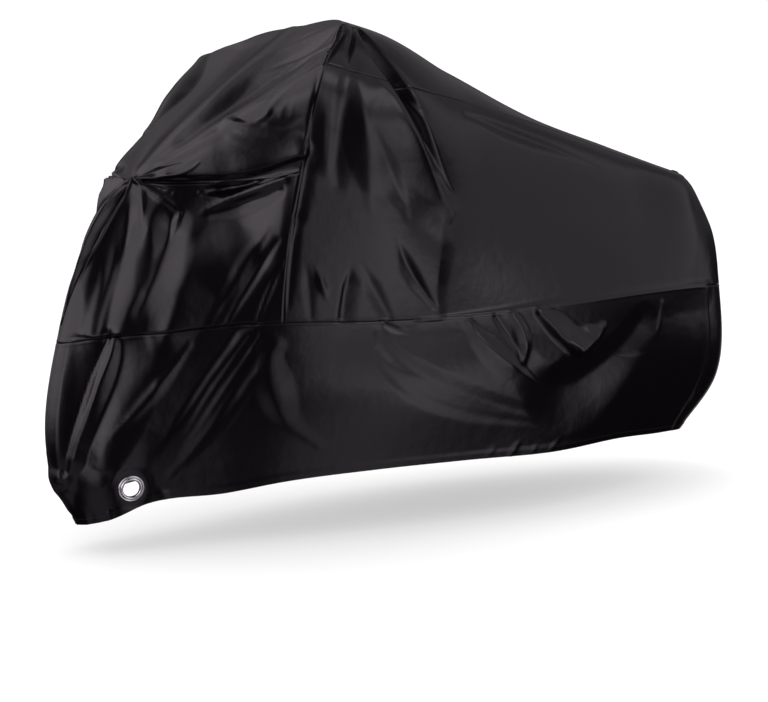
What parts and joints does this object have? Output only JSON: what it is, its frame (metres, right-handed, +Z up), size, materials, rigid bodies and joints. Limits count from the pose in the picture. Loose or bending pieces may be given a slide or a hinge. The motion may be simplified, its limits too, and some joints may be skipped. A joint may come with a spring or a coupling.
{
  "type": "motorcycle cover",
  "caption": "Fitted dark cloth cover draped over a motorcycle, hollow and open below, with sewn panels, deep hanging folds, a drawn-in hem and empty chrome eyelets low at the front.",
  "frame": {"origin": "under the top of the cover on its centre line, just behind the cross seam, where the motorcycle holds it up", "axes": "+X from the front of the cover to its rear, +Y to the motorcycle's right, +Z up"},
  "size_m": [2.2232, 0.7449, 1.2953],
  "materials": {
    "cloth": "near-black coated polyester with a satin sheen",
    "eyelet": "bright chrome, pressed and rolled"
  },
  "bodies": {
    "root": {"cap": "cloth", "top": "cloth", "front_left": "cloth", "front_right": "cloth", "side_left": "cloth", "side_right": "cloth", "skirt_left": "cloth", "skirt_right": "cloth", "skirt_rear": "cloth", "eyelet_strip_left": "cloth", "eyelet_strip_right": "cloth", "eyelet_left": "eyelet", "eyelet_right": "eyelet"}
  },
  "joints": []
}
